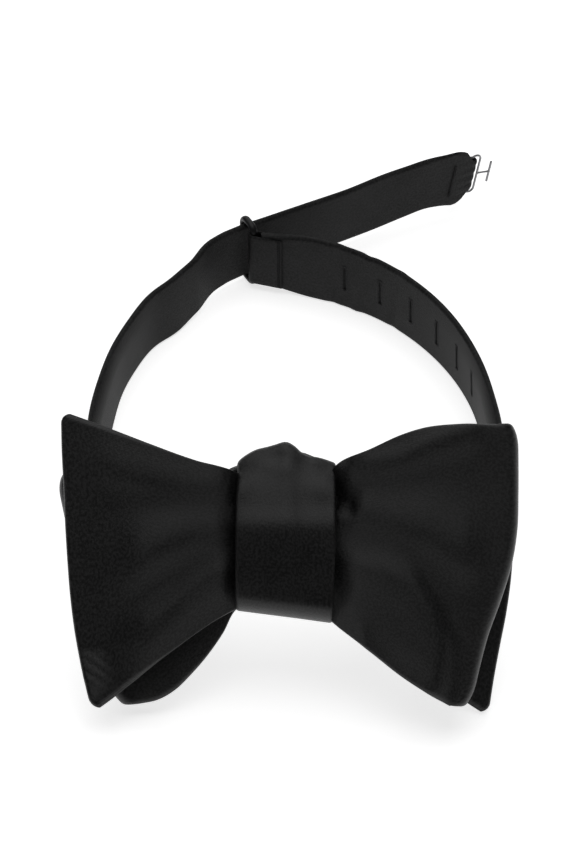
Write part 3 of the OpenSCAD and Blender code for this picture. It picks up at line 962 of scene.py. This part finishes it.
# %% [markdown]
# The strip isn't a plain arc. It leans and sways where it has been bent in use, rolls over at the
# side of the loop, and waves a little along the tail. All of that is added as shifts across the
# strip, which fade out before the ring so that the strip can slide through it.

# %% Left half of the band and tail
def left_shape(share, up):
    along = (share - left_side) / (left_ring - left_side)
    at_side = near(along, 0.05, 0.40)
    rolled, drop = rolled_top(up, at_side)
    leaning = (
        1.4 * near(along, 0.10, 0.20) + 1.2 * near(along, 0.66, 0.09) + 0.9 * near(along, 0.84, 0.12)
    )
    shift = 0.7 * rolled - (up - 0.5) * leaning
    shift = shift + 1.5 * near(along, 0.15, 0.20) + 0.5 * near(along, 0.45, 0.12)
    shift = shift + 1.1 * near(along, 0.66, 0.07)
    shift = shift + 2.4 * near(along, 0.78, 0.14) * (1 - ease((along - 0.76) / 0.14))
    past_ring = (share - left_ring) * left_length
    waves = 0.55 * np.sin(past_ring / 13 + 0.4) * (0.3 + up) + 0.22 * np.sin(past_ring / 4.7) * up
    shift = shift + waves * ease((past_ring - 14) / 16) * (1 - ease((past_ring - 68) / 10))
    return shift, drop * np.ones_like(share)


fold_spots = left_spots[-30:]
left_grid, left_at, left_edge = strip(left_route, left_shape, fold_spots, (False, True))
# The hook's bar leans, and the fold round it leans with it.
hook_axis = np.array(joints["hook_swing"]["axis"])
hook_at = np.array(joints["hook_swing"]["pos_m"])
lean_out = math.hypot(*hook_axis[:2]) / hook_axis[2]
tail_spot = left_at - left_ring * left_length
leaning = ease((tail_spot - 70) / 13)[:, None] * (left_grid[..., 2] - hook_at[2] / MM) * lean_out
left_grid += leaning[..., None] * tail_way
# The gathers in the fold
gathers = 0.16 * near(tail_spot, FOLD_AT + 1, 6)[:, None] * np.sin(left_grid[..., 2] * 2.1)
left_grid += gathers[..., None] * tail_left
thickness = np.interp(
    left_at, left_spots, np.concatenate([np.full(len(neck) + len(arc), 2.1), tail_thickness])
)
left_strand = cloth(
    "left_band_cloth", left_grid * MM,
    rounded(left_edge * MM, 1.0 * MM) * thickness[:, None], band_satin,
)
print("left half:", len(left_strand.data.polygons), "faces")

# %% [markdown]
# ## Right half of the band
# It carries the slots for the hook. Each is cut through the band and bound with close stitches.
# The strip is pressed thin along each slot, so a groove shows between the stitches. Three soft
# creases cross the band near the first slots, where it has been bent. Towards the ring the strip
# thickens, because the end of the tab is sewn into it.

# %% Right half of the band
FIRST_SLOT, SLOT_PITCH, SLOT_COUNT = 30, 12.7, 6
SLOT_HIGH = 9
TAB_HIGH = 19.6
RING_GAP = 1.34
right_neck = neck_route(SIDE_RIGHT, RIGHT_WIDTH, 7.2)
right_arc = arc_route(SIDE_RIGHT, RIGHT_RADIUS, RIGHT_TURN - RING_GAP, RIGHT_WIDTH)
ring_from_end = RIGHT_RADIUS * math.radians(RING_GAP)
arc_degrees = RIGHT_TURN - RING_GAP - ARC_START
for k, (x, y, z, lean, width) in enumerate(right_arc):
    to_end = RIGHT_RADIUS * math.radians(arc_degrees * (1 - k / (ARC_STEPS - 1)))
    right_arc[k] = (x, y, z, lean, width - (width - TAB_HIGH) * (1 - ease(to_end / 17)))
right_route = right_neck + right_arc
right_side = share_at(right_route, len(right_neck))
right_length = gaps(np.array(right_route)[:, :3])[-1]


def right_shape(share, up):
    along = (share - right_side) / (1 - right_side)
    at_side = near(along, 0.02, 0.26)
    rolled, drop = rolled_top(up, at_side)
    to_ring = (1 - share) * right_length + ring_from_end
    creases = sum(
        depth * np.exp(-(((to_ring - spot - slant * (up - 0.5)) / 1.7) ** 2))
        for spot, slant, depth in ((26.5, 1.5, -0.35), (36, 4.5, 0.45), (49, 3, -0.25))
    )
    leaning = -1.0 * near(along, 0.25, 0.2) - 0.5 * near(along, 0.6, 0.2)
    shift = 0.8 * rolled - (up - 0.5) * leaning + creases + 0.6 * near(along, 0.10, 0.10)
    shift = shift - 2.6 * near(along, 0.50, 0.25) - 1.6 * near(along, 0.72, 0.17)
    return shift, drop * np.ones_like(share)


def slot_groove(to_ring, up):
    """How much of its thickness the band keeps at a place: little along a slot."""
    inside = 1 - ease((np.abs(up - 0.5) * RIGHT_WIDTH - SLOT_HIGH / 2 + 0.5) / 0.8)
    pressed = 0
    for slot in range(SLOT_COUNT):
        spot = FIRST_SLOT + slot * SLOT_PITCH
        pressed = pressed + inside * np.exp(-(((to_ring - spot) / 0.42) ** 4))
    return 1 - 0.6 * pressed


half_steps = (0.15, 0.3, 0.4, 0.5, 0.7, 1.0)
groove_steps = (0, *half_steps, *(-step for step in half_steps))
slot_rows = [
    right_length + ring_from_end - (FIRST_SLOT + slot * SLOT_PITCH + step)
    for slot in range(SLOT_COUNT) for step in groove_steps
]
right_grid, right_at, right_edge = strip(right_route, right_shape, slot_rows, (False, True))
to_ring = (right_length - right_at + ring_from_end)[:, None]
ups = stops(RIGHT_WIDTH * MM, STRIP_STEPS) / (RIGHT_WIDTH * MM)
swollen = 2.1 + 0.9 * (1 - ease((to_ring - 8) / 12))
right_half = rounded(right_edge * MM, 1.0 * MM) * swollen * slot_groove(to_ring, ups[None, :])
right_strand = cloth("right_band_cloth", right_grid * MM, right_half, band_satin)
print("right half:", len(right_strand.data.polygons), "faces")

# %% [markdown]
# ## Stitches
# A stitch is a short piece of thread that dips into the cloth at both ends. One helper lays any
# number of them as one mesh: each is a thin tube along a low arch.


# %% Stitch helper
def tube_faces(rings, sides, first):
    faces = []
    for i in range(rings - 1):
        for j in range(sides):
            k = (j + 1) % sides
            a, b = first + i * sides, first + (i + 1) * sides
            faces.append([a + j, a + k, b + k, b + j])
    faces.append([first + j for j in reversed(range(sides))])
    faces.append([first + (rings - 1) * sides + j for j in range(sides)])
    return faces


def tube_points(line, radius, sides):
    """Rings of points round a line, and their (along, round) places in metres."""
    line = np.asarray(line, float)
    ahead = np.gradient(line, axis=0)
    ahead /= np.linalg.norm(ahead, axis=1, keepdims=True)
    side = np.cross(ahead[0], (0.31, 0.17, 0.93))
    if np.linalg.norm(side) < 0.05:
        side = np.cross(ahead[0], (1, 0, 0))
    rings, places, spots = [], [], gaps(line)
    radius = np.broadcast_to(radius, (len(line),))
    for i, (point, way) in enumerate(zip(line, ahead)):
        side = side - way * (side @ way)
        side /= np.linalg.norm(side)
        other = np.cross(way, side)
        for j in range(sides):
            a = 2 * math.pi * j / sides
            rings.append(point + radius[i] * (side * math.cos(a) + other * math.sin(a)))
            places.append((spots[i], radius[i] * a))
    return rings, places


STITCH = 0.12 * MM


def stitches(name, arches, radius, material):
    """Many stitches as one mesh. Each arch is (start, end, outward), in metres."""
    points, faces, places = [], [], []
    steps = np.linspace(0, 1, 7)
    for start, end, outward in arches:
        start, end, outward = (np.array(v, float) for v in (start, end, outward))
        rise = np.sin(steps * math.pi)[:, None] * outward
        line = start + (end - start) * steps[:, None] + rise
        ring_points, ring_places = tube_points(line, radius * np.sqrt(1.05 - (2 * steps - 1) ** 4), 8)
        faces += tube_faces(len(steps), 8, len(points))
        points += ring_points
        places += ring_places
    return new_piece(name, points, faces, places, material)


# %% [markdown]
# Each slot is bound like a buttonhole: close stitches lie side by side along both of its long
# sides, on both faces of the band, with a bar of longer stitches across each end.


# %% Slot stitching
def band_place(to_ring, height, inward):
    """A point on the right half, by distance from the ring, height and distance inwards."""
    share = np.array(1 - (to_ring - ring_from_end) / right_length)
    shift, drop = right_shape(share, np.array(height / RIGHT_WIDTH))
    turn = math.radians(RIGHT_TURN) - to_ring / RIGHT_RADIUS
    radius = RIGHT_RADIUS - inward - float(shift)
    return np.array([
        SIDE_RIGHT[0] - RIGHT_RADIUS + radius * math.cos(turn),
        SIDE_RIGHT[1] + radius * math.sin(turn), height - float(drop),
    ]) * MM


def slot_arches():
    arches = []
    face = 1.0
    for slot in range(SLOT_COUNT):
        spot = FIRST_SLOT + slot * SLOT_PITCH
        for inward in (face, -face):
            out = (band_place(spot, 12, inward) - band_place(spot, 12, 0)) * 0.08
            for height in np.arange(-SLOT_HIGH / 2, SLOT_HIGH / 2 + 0.01, 0.3):
                z = RIGHT_WIDTH / 2 + height
                for side in (-1, 1):
                    arches.append((
                        band_place(spot + side * 0.38, z, inward * 0.80),
                        band_place(spot + side * 1.25, z, inward * 0.99), out,
                    ))
            for end in (-1, 1):
                for row in (0.1, 0.4):
                    z = RIGHT_WIDTH / 2 + end * (SLOT_HIGH / 2 + row)
                    arches.append((
                        band_place(spot - 1.2, z, inward * 0.99),
                        band_place(spot + 1.2, z, inward * 0.99), out,
                    ))
    return arches


slot_stitches = stitches("slot_stitches", slot_arches(), STITCH, thread)
print("slot stitches:", len(slot_stitches.data.polygons), "faces")

# %% [markdown]
# ## Ring tab
# The end of the right half goes round one bar of the ring as a tab and is sewn down on both
# faces. The tab is a strip bent into a U. Its legs thin out along the band, so that they end
# almost flush with it.

# %% Ring tab
ring_bar = np.array(joints["ring_swing"]["pos_m"])
tab_low, tab_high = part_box("ring_tab")
TAB_LONG = 9.4


def tab_grid(length, inner_radius, low, high):
    """A U of cloth in its own axes: x back along the band from the bar, y across, z up."""
    bend = np.radians(np.linspace(-90, -270, 21))
    flat = np.linspace(length, 0.6, 16)
    leg = inner_radius + 0.12 * ease(flat / length)
    x = np.concatenate([flat, inner_radius * np.cos(bend), flat[::-1]])
    y = np.concatenate([-leg, inner_radius * np.sin(bend), leg[::-1]])
    up = stops((high - low) * MM, 24) / MM
    grid = np.zeros((len(x), len(up), 3))
    grid[..., 0] = x[:, None]
    grid[..., 1] = y[:, None]
    grid[..., 2] = low + up[None, :]
    along = gaps(np.column_stack([x, y]))
    return grid, np.minimum(to_edge(up)[None, :], to_edge(along)[:, None])


def turned(grid, origin, angle):
    """Points in a piece's own axes, turned about z by an angle and moved to an origin."""
    c, s = math.cos(math.radians(angle)), math.sin(math.radians(angle))
    spin = np.array([(c, s, 0), (-s, c, 0), (0, 0, 1)])
    return np.asarray(grid) @ spin + np.array(origin)


TAB_ANGLE = RIGHT_TURN - 92.7
bar_base = np.array([ring_bar[0], ring_bar[1], 0])
grid, edge = tab_grid(TAB_LONG, 1.45, tab_low.z / MM, tab_high.z / MM)
thin = 1 - 0.45 * ease((grid[..., 0] - 1) / 7)
ring_tab = cloth(
    "ring_tab_cloth", turned(grid * MM, bar_base, TAB_ANGLE), rounded(edge * MM, 0.9 * MM) * thin,
    band_satin,
)
print("ring tab:", len(ring_tab.data.polygons), "faces")

# %% [markdown]
# One upright row of close stitches holds the tab on each face of the band. They are short and
# slant a little, so they are laid in a loop from the foot of the tab to its top.


# %% Ring tab stitching
def column_of_stitches(x, side, low, high, count, angle, origin):
    """A bartack: short slanting stitches that cross a vertical line, close together."""
    arches = []
    out = turned(np.array([0, side * 0.07 * MM, 0]), (0, 0, 0), angle)
    for height in np.linspace(low, high, count):
        start = turned(np.array([x - 0.6, side * 1.78, height]) * MM, origin, angle)
        end = turned(np.array([x + 0.6, side * 1.78, height + 0.25]) * MM, origin, angle)
        arches.append((start, end, out))
    return arches


tab_arches = []
for side in (-1, 1):
    tab_arches += column_of_stitches(
        TAB_LONG - 1.0, side, tab_low.z / MM + 0.7, tab_high.z / MM - 0.7, 46,
        TAB_ANGLE, bar_base,
    )
tab_stitches = stitches("ring_tab_stitches", tab_arches, STITCH, thread)
print("ring tab stitches:", len(tab_arches))

# %% [markdown]
# ## Ring
# The ring is a tall rectangle of wire with soft corners. One side is the bar in the tab, and the
# tail runs through its opening. The wire is swept round a closed line, flat in the ring's plane,
# and is a little wider than it is thick.


# %% Ring
def rounded_loop(length, height, bend, steps=9):
    """Points round a rectangle with round corners, in its plane, from the middle of one side."""
    points = []
    for corner_x, corner_z, start in (
        (length - bend, height / 2 - bend, 90), (length - bend, bend - height / 2, 0),
        (bend, bend - height / 2, -90), (bend, height / 2 - bend, -180),
    ):
        for angle in np.radians(np.linspace(start, start - 90, steps)):
            points.append((corner_x + bend * math.cos(angle), corner_z + bend * math.sin(angle)))
    return points


def closed_wire(name, line, radius, sides, material, wide=1.0):
    """A tube along a closed flat line of points, wider by a factor across its plane."""
    line = np.asarray(line, float)
    around = np.concatenate([line, line[:1], line[1:2]])
    count = len(line)
    ahead = np.roll(line, -1, axis=0) - np.roll(line, 1, axis=0)
    ahead /= np.linalg.norm(ahead, axis=1, keepdims=True)
    normal = np.linalg.svd(line - line.mean(0))[2][2]
    other = np.cross(ahead, normal)
    angles = 2 * math.pi * np.arange(sides) / sides
    points = (
        line[:, None] + wide * radius * np.cos(angles)[None, :, None] * normal
        + radius * np.sin(angles)[None, :, None] * other[:, None]
    )
    faces = []
    for i in range(count):
        n = (i + 1) % count
        for j in range(sides):
            k = (j + 1) % sides
            faces.append([i * sides + j, n * sides + j, n * sides + k, i * sides + k])
    spots = gaps(around)[:count]
    weave = [(spots[i], radius * angles[j]) for i in range(count) for j in range(sides)]
    return new_piece(name, points.reshape(-1, 3), faces, weave, material)


ring_low, ring_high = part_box("adjuster_ring")
RING_WIRE = 0.9 * MM
RING_SPAN = 7.4 * MM
ring_tall = ring_high.z - ring_low.z - 2 * RING_WIRE
ring_line = [
    (ring_bar[0] + tail_left[0] * a, ring_bar[1] + tail_left[1] * a,
     ring_low.z + RING_WIRE + ring_tall / 2 + b)
    for a, b in rounded_loop(RING_SPAN, ring_tall, 2.4 * MM)
]
ring = closed_wire("adjuster_ring_wire", ring_line, RING_WIRE, 20, enamel, 1.35)
print("ring:", len(ring.data.polygons), "faces")

# %% [markdown]
# ## Hook
# The hook is a narrow loop of wire with a stalk and a crossbar. The loop's inner side sits in the
# fold of the tail, which is sewn behind it with close stitches. The crossbar goes through a slot
# of the band. Everything on the hook is placed in axes that lean with its bar.

# %% Hook axes and the fold's stitches
HOOK_WIRE = 0.36 * MM
hook_way = tail_way - hook_axis * (tail_way @ hook_axis)
hook_way /= np.linalg.norm(hook_way)
hook_side = np.cross(hook_axis, hook_way)


def hook_place(points):
    """Points in the hook's axes: out along the stalk, sideways, and along its bar. In mm."""
    points = np.asarray(points, float) * MM
    return hook_at + points @ np.array([hook_way, hook_side, hook_axis])


hook_arches = []
for face, depth in ((-1, 1.93), (1, 2.08)):
    for height in np.linspace(-6.6, 5.0, 34):
        start = hook_place((-7.3, face * depth, height))
        end = hook_place((-6.3, face * depth, height + 0.2))
        hook_arches.append((start, end, hook_side * face * 0.06 * MM))
hook_stitches = stitches("hook_tab_stitches", hook_arches, STITCH, thread)
print("hook tab stitches:", len(hook_arches))

# %% [markdown]
# The three parts of the hook are tubes: a closed one for the loop, and two open ones for the
# stalk and the crossbar.


# %% Hook
HOOK_LOOP, BAR_OUT, BAR_HALF = 3.4, 8.0, 4.0
WIRE_SIDES = 14


def wire(name, line, radius, material):
    """A tube along an open line, with a radius for each point."""
    points, places = tube_points(line, radius, WIRE_SIDES)
    return new_piece(name, points, tube_faces(len(line), WIRE_SIDES, 0), places, material)


loop_line = [(a, 0, b) for a, b in rounded_loop(HOOK_LOOP, 14.0, 1.5, 8)]
hook_loop = closed_wire("hook_loop_wire", hook_place(loop_line), HOOK_WIRE, WIRE_SIDES, nickel)

# The stalk flares where it is soldered to the loop and to the crossbar.
on_stalk = np.linspace(0, 1, 30)
none = np.zeros(len(on_stalk))
stalk_line = np.column_stack([HOOK_LOOP + (BAR_OUT - HOOK_LOOP) * on_stalk, none, none])
flare = 1 + 0.9 * np.exp(-on_stalk / 0.09) + 0.8 * np.exp(-(1 - on_stalk) / 0.09)
hook_stalk = wire("hook_stalk_wire", hook_place(stalk_line), HOOK_WIRE * 0.82 * flare, nickel)

# The crossbar's ends are round, so its radius falls away there in a quarter circle.
BAR_RADIUS = HOOK_WIRE * 1.05
along_bar = -BAR_HALF * np.cos(np.linspace(0, math.pi, 24))
from_end = np.clip((BAR_HALF - np.abs(along_bar)) * MM / BAR_RADIUS, 0, 1)
bar_line = [(BAR_OUT, 0, spot) for spot in along_bar]
bar_radius = BAR_RADIUS * np.sqrt(np.clip(1 - (1 - from_end) ** 2, 0.03, 1))
hook_bar = wire("hook_bar_wire", hook_place(bar_line), bar_radius, nickel)
print("hook:", hook_loop.name, hook_stalk.name, hook_bar.name)

# %% [markdown]
# ## Where each piece goes
# The wings and the left half of the band stay where they were made and ride on no body. Every
# other piece rides on one body. The CAD nodes that each piece stands for are hidden.


# %% Hang the pieces on the frame
def three(name):
    return [f"{name}_{layer}" for layer in ("face", "interlining", "backing")]


def bow_point(x, y, z):
    return tuple(from_bow(np.array([x, y, z]) * MM))


wings = {
    "front_left_wing": (front_left_wing, "front_left_end", -1, -5.4),
    "front_right_wing": (front_right_wing, "front_right_fold", 1, -5.3),
    "back_left_wing": (back_left_wing, "back_left_fold", -1, 0.35),
    "back_right_wing": (back_right_wing, "back_right_end", 1, 0.4),
}
for body, (piece, nodes, side, depth) in wings.items():
    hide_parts(*three(nodes))
    bow_point(side * 11, depth, 0)
    bow_point(side * 21, depth, 0)
    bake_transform(piece)

for piece, nodes in (
    (knot_wrap, three("knot_wrap")), (knot_tuck, ["knot_tuck"]),
    (front_pleats, ["front_blade_pinch"]), (back_pleats, ["back_blade_pinch"]),
    (right_strand, three("right_neck") + three("right_strap")),
    (ring_tab, ["ring_tab"]),
):
    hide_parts(*nodes)
    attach(piece, "band")
for piece, node in ((slot_stitches, "slot_stitching"), (tab_stitches, "ring_tab_stitching")):
    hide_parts(node)
    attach(piece, "band")

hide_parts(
    *three("left_neck"), *three("left_strap"), "tail_throat", *three("tail"),
    "hook_tab",
)
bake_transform(left_strand)

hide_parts("adjuster_ring")
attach(ring, "ring")
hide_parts("hook_tab_stitching")
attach(hook_stitches, "tail")
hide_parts("t_hook")
for piece in (hook_loop, hook_stalk, hook_bar):
    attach(piece, "hook")

# %% [markdown]

# %% [markdown]
# ## Floor and light
# The tie stands on a plain white table under a wide overhead softbox, with a second one behind
# it. The room is dim, so satin that faces neither stays dark, and its folds read as soft gloss
# where they turn up to a softbox or down to the table.

# %% Floor and light
floor_material = Material("white_table")
paper = floor_material.noise(floor_material.node("ShaderNodeTexCoord", output=3), 1 / 60)
floor_white = floor_material.between(paper, (0.90, 0.90, 0.90), (0.93, 0.93, 0.93))
floor_material.finish(
    base_color=floor_white, roughness=0.9, specular_ior_level=0.1,
    emission_color=(1, 1, 1, 1), emission_strength=0.7,
)
FLOOR_SIDE = 6.0
corners = [(-1, -1), (1, -1), (1, 1), (-1, 1)]
floor = new_piece(
    "table_top", [(x * FLOOR_SIDE / 2, y * FLOOR_SIDE / 2, 0) for x, y in corners],
    [[0, 1, 2, 3]], [(x, y) for x, y in corners], floor_material.made,
)


def softbox(name, place_at, aim_at, side, power):
    light = bpy.data.lights.new(name, "AREA")
    light.shape, light.size, light.energy = "SQUARE", side, power
    lamp = bpy.data.objects.new(name, light)
    lamp.location = place_at
    direction = Vector(aim_at) - Vector(place_at)
    lamp.rotation_euler = direction.to_track_quat("-Z", "Y").to_euler()
    bpy.context.scene.collection.objects.link(lamp)
    return lamp


softbox("overhead_softbox", (0, 0.25, 1.3), (0, 0, 0), 1.5, 9)
softbox("back_softbox", (0, 1.6, 0.9), (0, 0, 0), 1.2, 4)
room = bpy.data.worlds.new("room")
room.use_nodes = True
room.node_tree.nodes["Background"].inputs["Color"].default_value = (0.8, 0.8, 0.8, 1)
room.node_tree.nodes["Background"].inputs["Strength"].default_value = 0.15
bpy.context.scene.world = room
bpy.context.scene.view_settings.view_transform = "Standard"

# %% [markdown]
# ## Finish
# At the end the view layer is brought up to date.

# %% Finish
bpy.context.view_layer.update()
